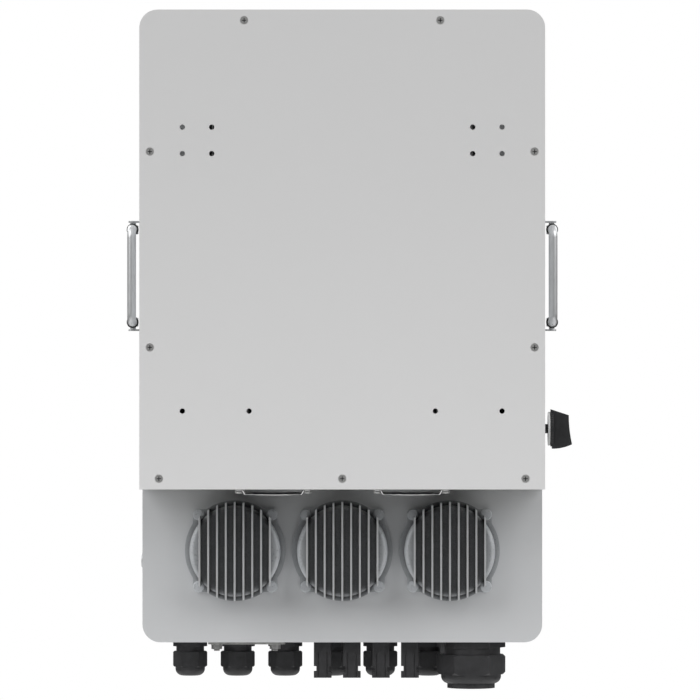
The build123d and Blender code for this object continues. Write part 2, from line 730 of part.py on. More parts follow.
def cover_shell(z, top, bottom):
    """Shallow pan with rounded front edges."""
    rim = FLANGE_DEPTH + SEAL_T
    shell = slab(outline(z, top=top, bottom=bottom), (rim, FRONT))
    shell = fillet(shell.edges().group_by(Axis.Y)[0], COVER_EDGE_R)
    return shell - slab(outline(z, SHEET, top, bottom), (rim - CUT, FRONT - SHEET))


def rounded_hole(size, z, x=0.0, r=WINDOW_R, grow=0.0, depth=(FRONT - 2 * SHEET, FRONT + CUT)):
    shape = Pos(x, z) * RectangleRounded(size[0] + 2 * grow, size[1] + 2 * grow, r)
    return slab(shape, depth)


def front_cover():
    cover = cover_shell((COVER_SPLIT + COVER_GAP / 2, TOP), True, False)
    cover -= rounded_hole(WINDOW, WINDOW_Z, grow=SKIN)
    for x in BUTTON_X:
        cover -= rounded_hole(BUTTON, BUTTON_Z, x, r=BUTTON_R, grow=GAP)
    for x in LIGHT_X:
        cover -= rod_y(x, (FRONT - 2 * SHEET, FRONT + CUT), LIGHT_Z, LIGHT_R + SKIN)
    return cover_screw_cuts(cover, FRONT_SCREWS)


def wiring_cover():
    cover = cover_shell((BOTTOM, COVER_SPLIT - COVER_GAP / 2), False, True)
    return cover_screw_cuts(cover, WIRING_SCREWS)


def cover_seal(z, top, bottom):
    span = (FLANGE_DEPTH, FLANGE_DEPTH + SEAL_T)
    outer = slab(outline(z, SEAL_EDGES[0], top, bottom), span)
    return outer - slab(outline(z, SEAL_EDGES[1], top, bottom), (0, FRONT))


def cover_screws(points):
    seat = FRONT - HEAD_POCKET
    return [front_point(x, z, seat) * pan_screw(seat - FLANGE_DEPTH + COVER_SCREW_GRIP) for x, z in points]


# ---------------------------------------------------------------- front panel

def display_window():
    return rounded_hole(WINDOW, WINDOW_Z, depth=(FRONT - WINDOW_T, FRONT - SKIN))


def display_module():
    """Display in its tray, pressed against the window from behind."""
    back = FRONT - SHEET
    tray = rounded_hole(WINDOW, WINDOW_Z, grow=TRAY_RIM, depth=(back - TRAY_BACK, back))
    return tray - rounded_hole(WINDOW, WINDOW_Z, r=WINDOW_T, grow=-SCREEN_RIM, depth=(back - SHEET, back + CUT))


def button(x):
    """Key cap with a collar that keeps it behind the cover."""
    cap = rounded_hole(BUTTON, BUTTON_Z, x, r=BUTTON_R, depth=(FRONT - BUTTON_DEEP, FRONT + BUTTON_PROUD))
    cap = fillet(cap.edges().group_by(Axis.Y)[0], BUTTON_EDGE_R)
    rim, thick = BUTTON_COLLAR
    collar = (FRONT - SHEET - GAP - thick, FRONT - SHEET - GAP)
    cap += rounded_hole(BUTTON, BUTTON_Z, x, r=BUTTON_R, grow=rim, depth=collar)
    return cap + rod_y(x, (FRONT - STEM[0], FRONT - STEM[1]), BUTTON_Z, STEM_R)


def indicator_lights():
    lights = []
    for x in LIGHT_X:
        lens = rod_y(x, (FRONT - LIGHT_DEEP, FRONT - 2 * SKIN), LIGHT_Z, LIGHT_R)
        lens += rod_y(x, (FRONT - LIGHT_DEEP, FRONT - SHEET - FIT), LIGHT_Z, LIGHT_R + LIGHT_RIM)
        lights.append(lens)
    return lights


def control_board():
    """Board behind the display, with the key switches on its front."""
    front = FRONT - SHEET - TRAY_BACK - 2 * SKIN
    board = block((-CONTROL_BOARD_X, CONTROL_BOARD_X), (front - BOARD_T, front), CONTROL_BOARD_Z)
    switch = (2 * KEY_SWITCH, FRONT - STEM[0] - CUT - front, 2 * KEY_SWITCH)
    for x in BUTTON_X:
        board += around(x, front, BUTTON_Z, switch)
    return board


def power_button():
    """Round push button on the right wall."""
    cap = stack(POWER_R, POWER_IN, POWER_OUT)
    cap = fillet(cap.edges().group_by(Axis.Z)[-1], CUT)
    cap += stack(POWER_R + CUT, *POWER_RIM)
    return right_point(POWER_DEPTH, POWER_Z) * cap


def power_switch_body():
    """Bushing and switch case that hold the push button."""
    case = stack(POWER_BEZEL_R, 0, POWER_BEZEL_T) + stack(POWER_BODY_R, POWER_BODY_IN, 0)
    case = fillet(case.edges().group_by(Axis.Z)[-1], BUTTON_EDGE_R)
    case += stack(POWER_BEZEL_R, POWER_NUT_IN, -SHEET - FIT)
    case -= stack(POWER_R + GAP, -POWER_BEZEL_T, POWER_BEZEL_T + CUT)
    case -= stack(POWER_R + CUT + GAP, POWER_WELL_IN, -POWER_BEZEL_T)
    return right_point(POWER_DEPTH, POWER_Z) * case


# ---------------------------------------------------------------- bottom fittings

def bored(shape, x, depth, r):
    """Take the cable's straight way out of a gland piece."""
    return shape - rod_z(x, depth, (BIG_Z[-1] - CUT, BOTTOM + STUB + CUT), r)


def gland_body(x, depth, ac_r, thread_r, neck_r, levels, seal_r):
    """Hex base, thread through the wall and the neck that the nut closes on."""
    base = hex_z(x, depth, (levels[0], BOTTOM), ac_r)
    stub = rod_z(x, depth, (BOTTOM, BOTTOM + STUB), thread_r)
    neck = rod_z(x, depth, (levels[1] - SKIN, levels[0]), neck_r)
    sleeve = rod_z(x, depth, (levels[2] + NUT_SKIRT, levels[1]), neck_r - SLEEVE_STEP)
    return bored(base + stub + neck + sleeve, x, depth, seal_r + SLEEVE_WALL + FIT)


def gland_nut(x, depth, ac_r, neck_r, dome_r, levels, seal_r):
    """Hex clamping nut that ends in a dome with the cable mouth."""
    top = levels[1] - 2 * SKIN
    prism = hex_z(x, depth, (levels[2], top), ac_r)
    prism &= Pos(x, -depth, 0) * chamfered_disc(ac_r, levels[2], top)
    dome = rod_z(x, depth, (levels[3], levels[2] + CUT), dome_r)
    dome = fillet(dome.edges().group_by(Axis.Z)[0], (levels[2] - levels[3]) * DOME_SHARE)
    nut = prism + dome
    nut -= rod_z(x, depth, (levels[2] + NUT_SKIRT - GAP, top + CUT), neck_r - SLEEVE_STEP + 2 * SKIN)
    return bored(nut, x, depth, seal_r + MOUTH_GAP)


def chamfered_disc(r, low, high):
    disc = stack(r, low, high)
    edges = disc.edges().group_by(Axis.Z)
    return chamfer(edges[0] + edges[-1], r * HEX_CHAMFER)


def gland_seal(x, depth, levels, seal_r):
    sleeve = rod_z(x, depth, (levels[2] + NUT_SKIRT, levels[0] - CUT), seal_r + SLEEVE_WALL)
    return bored(sleeve, x, depth, seal_r)


def locknut(x, depth, thread_r, ac_r):
    low = BOTTOM + SHEET
    nut = hex_z(x, depth, (low, low + LOCKNUT_T), ac_r)
    return nut - rod_z(x, depth, (low - CUT, low + STUB), thread_r + FIT)


def gland_bodies():
    return [gland_body(x, GLAND_DEPTH, GLAND_AC_R, GLAND_THREAD_R, GLAND_NECK_R, GLAND_Z, GLAND_SEAL_R)
            for x in GLAND_X]


def gland_nuts():
    return [gland_nut(x, GLAND_DEPTH, GLAND_AC_R, GLAND_NECK_R, GLAND_DOME_R, GLAND_Z, GLAND_SEAL_R)
            for x in GLAND_X]


def gland_seals():
    return [gland_seal(x, GLAND_DEPTH, GLAND_Z, GLAND_SEAL_R) for x in GLAND_X]


def gland_locknuts():
    small = [locknut(x, GLAND_DEPTH, GLAND_THREAD_R, GLAND_AC_R) for x in GLAND_X]
    return small + [locknut(BIG_X, BIG_DEPTH, BIG_THREAD_R, BIG_AC_R)]


def battery_gland_nut():
    nut = gland_nut(BIG_X, BIG_DEPTH, BIG_AC_R, BIG_NECK_R, BIG_DOME_R, BIG_Z, BIG_SEAL_R)
    lip = rod_z(BIG_X, BIG_DEPTH, (BIG_Z[4], BIG_Z[3] + CUT), BIG_LIP_R)
    return bored(nut + lip, BIG_X, BIG_DEPTH, BIG_SEAL_R + MOUTH_GAP)


def pv_connector(x):
    """Panel socket for a solar string, with latch notches on both sides."""
    half = PV_W / 2
    square = RectangleRounded(PV_W, PV_W, PV_CORNER_R)
    body = Pos(x, -PV_DEPTH, PV_LOW) * extrude(square, amount=BOTTOM - PV_LOW)
    for side in (-1, 1):
        edge = x + side * half
        notch = (min(edge, edge - side * PV_NOTCH), max(edge, edge - side * PV_NOTCH))
        body -= block(notch, (PV_DEPTH - half - CUT, PV_DEPTH + half + CUT), PV_NOTCH_Z)
        groove_x = (x + side * PV_GROOVE_X - PV_GROOVE[0], x + side * PV_GROOVE_X + PV_GROOVE[0])
        for face in (PV_DEPTH - half, PV_DEPTH + half):
            body -= block(groove_x, (face - PV_GROOVE[1], face + PV_GROOVE[1]), (PV_LOW - CUT, PV_GROOVE_TOP))
    body += rod_z(x, PV_DEPTH, (BOTTOM, BOTTOM + STUB), PV_THREAD_R)
    return body - rod_z(x, PV_DEPTH, (PV_LOW - CUT, PV_LOW + PV_BORE_L), PV_BORE_R)


def pv_connector_nuts():
    return [locknut(x, PV_DEPTH, PV_THREAD_R, PV_NUT_R) for x in PV_X]


def earth_bar():
    bar = block(EARTH_X, EARTH_DEPTH, (BOTTOM - EARTH_T, BOTTOM))
    bar = fillet(bar.edges().filter_by(Axis.Z), EARTH_END_R)
    through = (BOTTOM - EARTH_T - CUT, BOTTOM + CUT)
    for x in EARTH_BOLT_X:
        bar -= rod_z(x, middle(EARTH_DEPTH), through, M6_R + FIT)
    for n in range(EARTH_HOLES):
        x = middle(EARTH_X) + (n - (EARTH_HOLES - 1) / 2) * EARTH_HOLE_PITCH
        bar -= rod_z(x, middle(EARTH_DEPTH), through, EARTH_HOLE_R)
    return bar


def earth_bolts():
    bolts = []
    depth = middle(EARTH_DEPTH)
    seat = BOTTOM - EARTH_T
    face = seat - WASHER[1]
    end = face - BOLT_HEAD[1]
    for x in EARTH_BOLT_X:
        bolt = rod_z(x, depth, (face, seat), WASHER[0])
        bolt += hex_z(x, depth, (end, face), BOLT_HEAD[0])
        bolt += rod_z(x, depth, (end - BOLT_TIP, end), M6_R)
        bolts.append(bolt + rod_z(x, depth, (seat, BOTTOM + HANDLE_SCREW_L), M6_R))
    return bolts


def signal_connector():
    """Small threaded aerial socket for the data logger."""
    plug = hex_z(SIGNAL_X, SIGNAL_DEPTH, (BOTTOM - SIGNAL_HEX[1], BOTTOM), SIGNAL_HEX[0])
    plug += rod_z(SIGNAL_X, SIGNAL_DEPTH, (SIGNAL_LOW, BOTTOM + STUB / 2), SIGNAL_R)
    bore_r, bore_l = SIGNAL_BORE
    return plug - rod_z(SIGNAL_X, SIGNAL_DEPTH, (SIGNAL_LOW - CUT, SIGNAL_LOW + bore_l), bore_r)


# ---------------------------------------------------------------- DC switch

def dc_switch_body():
    """Switch case inside the wall, with the stub and thin neck that carry the collar."""
    wide, tall, deep = SWITCH_CASE
    case = Pos(0, 0, -SHEET - deep / 2 - FIT) * Box(wide, tall, deep)
    case += stack(STUB_R, -SHEET - CUT, STUB_OUT)
    case += stack(NECK_R, STUB_OUT, COLLAR[0])
    case -= stack(KNOB_SHAFT_R + FIT, KNOB_SHAFT_IN - CUT, COLLAR[0] + CUT)
    return left_point(SWITCH_DEPTH, SWITCH_Z) * case


def dc_switch_collar():
    disc = stack(COLLAR_R, *COLLAR)
    disc = fillet(disc.edges().group_by(Axis.Z)[-1], CUT)
    disc -= stack(KNOB_SHAFT_R + GAP, COLLAR[0] - CUT, COLLAR[1] + CUT)
    return left_point(SWITCH_DEPTH, SWITCH_Z) * disc


def knob_grip():
    """Bar grip: a four-sided profile with a hollowed end and a bulging underside."""
    top, end_top, end_low, low = GRIP_CORNERS
    profile = Line(top, end_top) + ThreePointArc(end_top, GRIP_END_MIDDLE, end_low)
    profile += ThreePointArc(end_low, GRIP_UNDER_MIDDLE, low) + Line(low, top)
    return extrude(Plane.YZ * make_face(profile), amount=GRIP_W / 2, both=True)


def dc_switch_knob():
    """Toothed skirt, bar grip and the shaft that turns in the neck."""
    skirt = stack(SKIRT_R, *SKIRT)
    tooth_gap = Pos(SKIRT_R, 0, middle(SKIRT)) * Box(SKIRT_TOOTH, SKIRT_TOOTH, SKIRT[1] - SKIRT[0] + CUT)
    for n in range(SKIRT_TEETH):
        skirt -= Rot(0, 0, 360 / SKIRT_TEETH * n) * tooth_gap
    knob = skirt + knob_grip() + stack(KNOB_SHAFT_R, KNOB_SHAFT_IN, SKIRT[0] + CUT)
    return left_point(SWITCH_DEPTH, SWITCH_Z) * knob


# ---------------------------------------------------------------- handles

def handle_bail():
    """Round bar grip on two collared legs, with a pivot stub on each leg's outer side."""
    x = HALF + GRIP_OUT
    points = [(x, -PIVOT_DEPTH, HANDLE_Z + LEG_Z), (x, -GRIP_DEPTH, HANDLE_Z + LEG_Z),
              (x, -GRIP_DEPTH, HANDLE_Z - LEG_Z), (x, -PIVOT_DEPTH, HANDLE_Z - LEG_Z)]
    path = FilletPolyline(*points, radius=BEND_R)
    start = Plane(origin=path @ 0, z_dir=path % 0)
    bail = sweep(start * Circle(BAR_R), path=path)
    for side in (-1, 1):
        leg = HANDLE_Z + side * LEG_Z
        bail += rod_z(x, PIVOT_DEPTH, (leg - BAR_R, leg + BAR_R), BAR_R + CUT)
        bail += rod_y(x, LEG_COLLAR, leg, LEG_COLLAR_R)
        stub = (leg, HANDLE_Z + side * EAR_Z[1])
        bail += rod_z(x, PIVOT_DEPTH, (min(stub), max(stub)), HANDLE_PIN_R)
    return bail


def handle_bracket():
    """Wall plate with two ears that carry the bail's pivot stubs."""
    z = (HANDLE_Z - EAR_Z[1], HANDLE_Z + EAR_Z[1])
    bracket = block((HALF, HALF + BRACKET_T), BRACKET_D, z)
    bracket = fillet(bracket.edges().filter_by(Axis.X), BRACKET_R)
    reach = GRIP_OUT + HANDLE_PIN_R + EAR_MARGIN
    for side in (-1, 1):
        ear_z = sorted(HANDLE_Z + side * level for level in EAR_Z)
        ear = block((HALF, HALF + reach), (PIVOT_DEPTH - EAR_HALF, PIVOT_DEPTH + EAR_HALF), ear_z)
        tip = ear.edges().filter_by(Axis.Z).group_by(Axis.X)[-1]
        bracket += fillet(tip, EAR_TIP_R)
        bracket -= rod_z(HALF + GRIP_OUT, PIVOT_DEPTH, (ear_z[0] - CUT, ear_z[1] + CUT), HANDLE_PIN_R + FIT)
    for depth, screw_z in bracket_screw_points():
        bracket -= rod_x((HALF - CUT, HALF + BRACKET_T + CUT), depth, screw_z, M4_R + FIT)
    return bracket


def handle_screws():
    screws = []
    for depth, z in bracket_screw_points():
        for wall_point in (right_point, left_point):
            screws.append(wall_point(depth, z, BRACKET_T) * pan_screw(HANDLE_SCREW_L))
    return screws


# ---------------------------------------------------------------- inside

def power_modules():
    """Transistor modules pressed on the heat sink through the wall's window."""
    return [around(x, DUCT_DEPTH, z, MODULE) for x in MODULE_X for z in MODULE_Z]


def power_board():
    return block((-BOARD_X, BOARD_X), (BOARD_DEPTH, BOARD_FRONT), BOARD_Z)


def board_standoffs():
    span = (DUCT_DEPTH + SHEET, BOARD_DEPTH)
    return [rod_y(x, span, z, STANDOFF_R) for x in (-STANDOFF_X, STANDOFF_X) for z in STANDOFF_Z]


def dc_link_capacitors():
    r, tall = CAPACITOR
    return [rod_y(x, (BOARD_FRONT, BOARD_FRONT + tall), z, r) for x in CAPACITOR_X for z in CAPACITOR_Z]


def output_relays():
    return [around(x, BOARD_FRONT, z, RELAY) for x in RELAY_X for z in RELAY_Z]


def transformers():
    """High-frequency transformers of the battery stage."""
    blocks = [around(x, BOARD_FRONT, TRANSFORMER_Z, TRANSFORMER) for x in TRANSFORMER_X]
    return [fillet(body.edges().filter_by(Axis.Y), TRANSFORMER_R) for body in blocks]


def ac_terminal_block():
    """Row of screw clamps for the mains, load and generator wires."""
    front = TERMINAL_DEPTH + AC_ROW_T
    row = block(AC_ROW_X, (TERMINAL_DEPTH, front), AC_ROW_Z)
    half, entry_back, entry_front = AC_ENTRY
    for n in range(AC_CLAMPS):
        x = AC_CLAMP_FIRST + n * AC_CLAMP_PITCH
        row -= rod_y(x, (front - AC_SCREW[1], front + CUT), middle(AC_ROW_Z), AC_SCREW[0])
        entry = (TERMINAL_DEPTH + entry_back, TERMINAL_DEPTH + entry_front)
        row -= block((x - half, x + half), entry, (AC_ROW_Z[0] - CUT, AC_ROW_Z[0] + 2 * AC_SCREW[0]))
    return row


def battery_terminals():
    """Two copper lugs with studs for the battery leads."""
    lugs = []
    for x in LUG_X:
        size = (LUG[0], LUG[1], LUG_Z[1] - LUG_Z[0])
        stud = rod_y(x, (TERMINAL_DEPTH, TERMINAL_DEPTH + STUD[1]), STUD_Z, STUD[0])
        lugs.append(around(x, TERMINAL_DEPTH, middle(LUG_Z), size) + stud)
    return lugs


def nodes():
    """Every named piece of the inverter, with its solid or group of solids."""
    split_top = (COVER_SPLIT + COVER_GAP / 2, TOP)
    split_low = (BOTTOM, COVER_SPLIT - COVER_GAP / 2)
    bail = handle_bail()
    bracket = handle_bracket()
    return {
        "rear_cover_plate": [rear_cover_plate()],
        "rear_plate_screws": rear_plate_screws(),
        "bracket_press_nuts": bracket_press_nuts(),
        "duct_frame": [duct_frame()],
        "heatsink": [heatsink()],
        "fan_plate": [fan_plate()],
        "fan_frame_left": [fan_frame(-FAN_X)],
        "fan_frame_right": [fan_frame(FAN_X)],
        "fan_rotor_left": [fan_rotor(-FAN_X)],
        "fan_rotor_right": [fan_rotor(FAN_X)],
        "fan_guard_left": [fan_guard(-FAN_X)],
        "fan_guard_right": [fan_guard(FAN_X)],
        "fan_screws": fan_screws(),
        "main_housing": [main_housing()],
        "inductor_pot_left": [inductor_pot(POT_X[0])],
        "inductor_pot_middle": [inductor_pot(POT_X[1])],
        "inductor_pot_right": [inductor_pot(POT_X[2])],
        "pot_gaskets": pot_gaskets(),
        "pot_screws": pot_screws(),
        "inductor_cores": inductor_cores(),
        "inductor_windings": inductor_windings(),
        "front_cover": [front_cover()],
        "front_cover_seal": [cover_seal(split_top, True, False)],
        "front_cover_screws": cover_screws(FRONT_SCREWS),
        "wiring_cover": [wiring_cover()],
        "wiring_cover_seal": [cover_seal(split_low, False, True)],
        "wiring_cover_screws": cover_screws(WIRING_SCREWS),
        "display_window": [display_window()],
        "display_module": [display_module()],
        "indicator_lights": indicator_lights(),
        "button_escape": [button(BUTTON_X[0])],
        "button_up": [button(BUTTON_X[1])],
        "button_down": [button(BUTTON_X[2])],
        "button_enter": [button(BUTTON_X[3])],
        "control_board": [control_board()],
        "power_button": [power_button()],
        "power_switch_body": [power_switch_body()],
        "gland_bodies": gland_bodies(),
        "gland_nuts": gland_nuts(),
        "gland_seals": gland_seals(),
        "gland_locknuts": gland_locknuts(),
        "battery_gland_body": [gland_body(BIG_X, BIG_DEPTH, BIG_AC_R, BIG_THREAD_R, BIG_NECK_R, BIG_Z,
                                          BIG_SEAL_R)],
        "battery_gland_nut": [battery_gland_nut()],
        "battery_gland_seal": [gland_seal(BIG_X, BIG_DEPTH, BIG_Z, BIG_SEAL_R)],
        "pv_connectors": [pv_connector(x) for x in PV_X],
        "pv_connector_nuts": pv_connector_nuts(),
        "earth_bar": [earth_bar()],
        "earth_bolts": earth_bolts(),
        "signal_connector": [signal_connector()],
        "dc_switch_body": [dc_switch_body()],
        "dc_switch_collar": [dc_switch_collar()],
        "dc_switch_knob": [dc_switch_knob()],
        "handle_bail_left": [mirrored(bail)],
        "handle_bail_right": [bail],
        "handle_bracket_left": [mirrored(bracket)],
        "handle_bracket_right": [bracket],
        "handle_screws": handle_screws(),
        "power_board": [power_board()],
        "board_electronics": power_modules() + board_standoffs() + dc_link_capacitors() + output_relays()
        + transformers(),
        "terminal_blocks": [ac_terminal_block()] + battery_terminals(),
    }


os.makedirs("parts", exist_ok=True)
for name, pieces in nodes().items():
    solids = [solid for piece in pieces for solid in piece.solids()]
    export_step(Compound(solids), f"parts/{name}.step")
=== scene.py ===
import json
from math import cos, pi, radians, sin, tan, tau

import bmesh
import bpy
from mathutils import Matrix, Quaternion, Vector


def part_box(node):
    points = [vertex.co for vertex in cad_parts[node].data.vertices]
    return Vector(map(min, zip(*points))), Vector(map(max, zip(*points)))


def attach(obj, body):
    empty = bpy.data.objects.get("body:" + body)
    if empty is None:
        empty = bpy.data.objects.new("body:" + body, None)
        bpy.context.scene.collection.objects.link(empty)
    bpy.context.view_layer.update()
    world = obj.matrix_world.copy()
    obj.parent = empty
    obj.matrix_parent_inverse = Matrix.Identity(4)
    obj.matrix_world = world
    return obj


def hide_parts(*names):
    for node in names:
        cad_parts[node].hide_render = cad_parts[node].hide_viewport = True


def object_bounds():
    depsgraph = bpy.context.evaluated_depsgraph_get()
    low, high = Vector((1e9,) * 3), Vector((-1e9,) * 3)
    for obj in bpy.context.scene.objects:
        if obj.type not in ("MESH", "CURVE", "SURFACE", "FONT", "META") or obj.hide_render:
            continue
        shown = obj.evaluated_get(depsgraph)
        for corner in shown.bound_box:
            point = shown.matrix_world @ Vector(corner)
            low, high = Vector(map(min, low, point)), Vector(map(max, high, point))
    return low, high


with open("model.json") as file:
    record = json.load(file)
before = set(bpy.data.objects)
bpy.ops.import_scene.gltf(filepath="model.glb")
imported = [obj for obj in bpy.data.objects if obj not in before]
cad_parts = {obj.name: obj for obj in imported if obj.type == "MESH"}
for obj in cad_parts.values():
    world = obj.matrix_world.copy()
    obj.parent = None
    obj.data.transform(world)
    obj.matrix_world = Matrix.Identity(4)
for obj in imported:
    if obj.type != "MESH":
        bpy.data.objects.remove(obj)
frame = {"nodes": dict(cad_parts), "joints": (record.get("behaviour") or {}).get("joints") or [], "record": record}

cad_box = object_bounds()
scene = bpy.context.scene
record = frame["record"]
MM = 0.001
HOUSING = "housing"

node_slot = {part["node"]: part["material_slot"] for part in record["subparts"]}
node_body = {node: body for body, nodes in record["behaviour"]["bodies"].items() for node in nodes}
slot_colour = {entry["slot"]: tuple(entry["base_color"][:3]) for entry in record["materials"]}
joints = {joint["name"]: joint for joint in frame["joints"]}

# Sizes of the shown details
BAR_R = 4.7 * MM
LEG = 49.2 * MM
BEND_R = 9 * MM
LEG_COLLAR_R = 6.4 * MM
LEG_COLLAR_REACH = 12.5 * MM
WIRE_R = 0.8 * MM
SCREW_HEAD_R = 4.25 * MM
POT_FLANGE_T = 4 * MM
POT_SCREW_X = 38.6 * MM
POT_SCREW_Z = 38 * MM
WELD = 0.002 * MM
EYE_MARGIN = 1 * MM
PIN_R = 3 * MM
GUARD_RINGS = [9 * MM, 16 * MM, 23 * MM, 30 * MM]
GUARD_ARM = (8 * MM, 42 * MM)
GUARD_EYE_R = 3.3 * MM
RECESS = (4.6 * MM, 0.95 * MM, 0.3 * MM)
POINTER = (1.4 * MM, 7 * MM, 0.5 * MM)


# ---------------------------------------------------------------- material nodes

def add_node(tree, kind, links=None, **values):
    """A shader node with its properties set and its inputs linked or filled in."""
    node = tree.nodes.new("ShaderNode" + kind)
    for key, value in values.items():
        setattr(node, key, value)
    for key, value in (links or {}).items():
        if isinstance(value, bpy.types.NodeSocket):
            tree.links.new(value, node.inputs[key])
        else:
            node.inputs[key].default_value = value
    return node


def object_coords(tree, stretch=(1, 1, 1)):
    """Object coordinates in metres, stretched so that grain can run one way."""
    coords = add_node(tree, "TexCoord").outputs["Object"]
    if stretch == (1, 1, 1):
        return coords
    return add_node(tree, "Mapping", {"Vector": coords, "Scale": stretch}).outputs["Vector"]


def noise(tree, coords, size, detail=3.0, roughness=0.55, distortion=0.0):
    """Noise whose features are about size metres across."""
    links = {"Vector": coords, "Scale": 1 / size, "Detail": detail, "Roughness": roughness,
             "Distortion": distortion}
    return add_node(tree, "TexNoise", links).outputs["Fac"]


def spread(tree, value, low, high, start=0.3, end=0.7):
    """Value mapped from start..end to low..high."""
    links = {"Value": value, "From Min": start, "From Max": end, "To Min": low, "To Max": high}
    return add_node(tree, "MapRange", links).outputs["Result"]


def blend_colour(tree, factor, first, second):
    mix = add_node(tree, "Mix", data_type="RGBA")
    for index, value in ((0, factor), (6, first), (7, second)):
        if isinstance(value, bpy.types.NodeSocket):
            tree.links.new(value, mix.inputs[index])
        else:
            mix.inputs[index].default_value = value if index == 0 else (*value, 1.0)
    return mix.outputs[2]


def math(tree, operation, first, second):
    return add_node(tree, "Math", {0: first, 1: second}, operation=operation).outputs[0]


def tinted(colour, factor):
    return tuple(min(1.0, channel * factor) for channel in colour)


def new_material(name):
    material = bpy.data.materials.new(name)
    material.use_nodes = True
    tree = material.node_tree
    return material, tree, tree.nodes["Principled BSDF"]


def surface(name, colour, metallic=0.0, rough=(0.4, 0.55), grain=0.0006, bump=0.15, cloud=0.08, swing=0.04,
            stretch=(1, 1, 1), specks=0.0, coat=0.0, crevice_shade=None, depth=0.0002):
    """Grained surface: fine bump and roughness, slow colour clouds, and optional specks, coat and painted shade
    that darkens the colour in crevices.
    """
    material, tree, shader = new_material(name)
    coords = object_coords(tree, stretch)
    fine = noise(tree, coords, grain)
    coarse = noise(tree, coords, grain * 5, 2.0)
    slow = noise(tree, object_coords(tree), cloud, 4.0, 0.6)
    base = blend_colour(tree, spread(tree, slow, 0, 1), tinted(colour, 1 - swing), tinted(colour, 1 + swing))
    if specks:
        spots = spread(tree, noise(tree, coords, grain * 2.2, 1.0), 0, specks, 0.62, 0.72)
        base = blend_colour(tree, spots, base, tinted(colour, 0.45))
    # Painted shade: ambient occlusion darkens the colour in crevices and between close parts, where shade falls.
    if crevice_shade:
        reach, shade = crevice_shade
        shadow = add_node(tree, "AmbientOcclusion", {"Distance": reach}, only_local=True, samples=8)
        open_sky = spread(tree, shadow.outputs["AO"], 0, 1, 0.25, 0.95)
        base = blend_colour(tree, open_sky, tinted(colour, shade), base)
    tree.links.new(base, shader.inputs["Base Color"])
    tree.links.new(spread(tree, fine, *rough), shader.inputs["Roughness"])
    height = math(tree, "ADD", fine, coarse)
    relief = add_node(tree, "Bump", {"Height": height, "Strength": bump, "Distance": depth})
    tree.links.new(relief.outputs["Normal"], shader.inputs["Normal"])
    shader.inputs["Metallic"].default_value = metallic
    shader.inputs["Coat Weight"].default_value = coat
    return material


def window_material(name):
    """Tinted glass with faint smears."""
    material, tree, shader = new_material(name)
    smear = noise(tree, object_coords(tree, (1, 1, 3)), 0.02, 5.0, 0.65)
    tree.links.new(spread(tree, smear, 0.03, 0.12), shader.inputs["Roughness"])
    tree.links.new(blend_colour(tree, smear, (0.02, 0.025, 0.03), (0.05, 0.055, 0.06)),
                   shader.inputs["Base Color"])
    shader.inputs["Alpha"].default_value = 0.32
    shader.inputs["Coat Weight"].default_value = 0.6
    return material


def board_material(name, colour):
    """Solder mask over a pattern of straight copper tracks."""
    material, tree, shader = new_material(name)
    coords = object_coords(tree, (1, 0.001, 1))
    tracks = add_node(tree, "TexBrick", {"Vector": coords, "Scale": 90.0, "Mortar Size": 0.03})
    mask = tracks.outputs["Fac"]
    mottled = blend_colour(tree, noise(tree, coords, 0.01), tinted(colour, 0.8), tinted(colour, 1.15))
    tree.links.new(blend_colour(tree, mask, mottled, tinted(colour, 2.0)), shader.inputs["Base Color"])
    tree.links.new(spread(tree, mask, 0.45, 0.3, 0, 1), shader.inputs["Roughness"])
    relief = add_node(tree, "Bump", {"Height": mask, "Strength": 0.3, "Distance": 0.0001})
    tree.links.new(relief.outputs["Normal"], shader.inputs["Normal"])
    return material


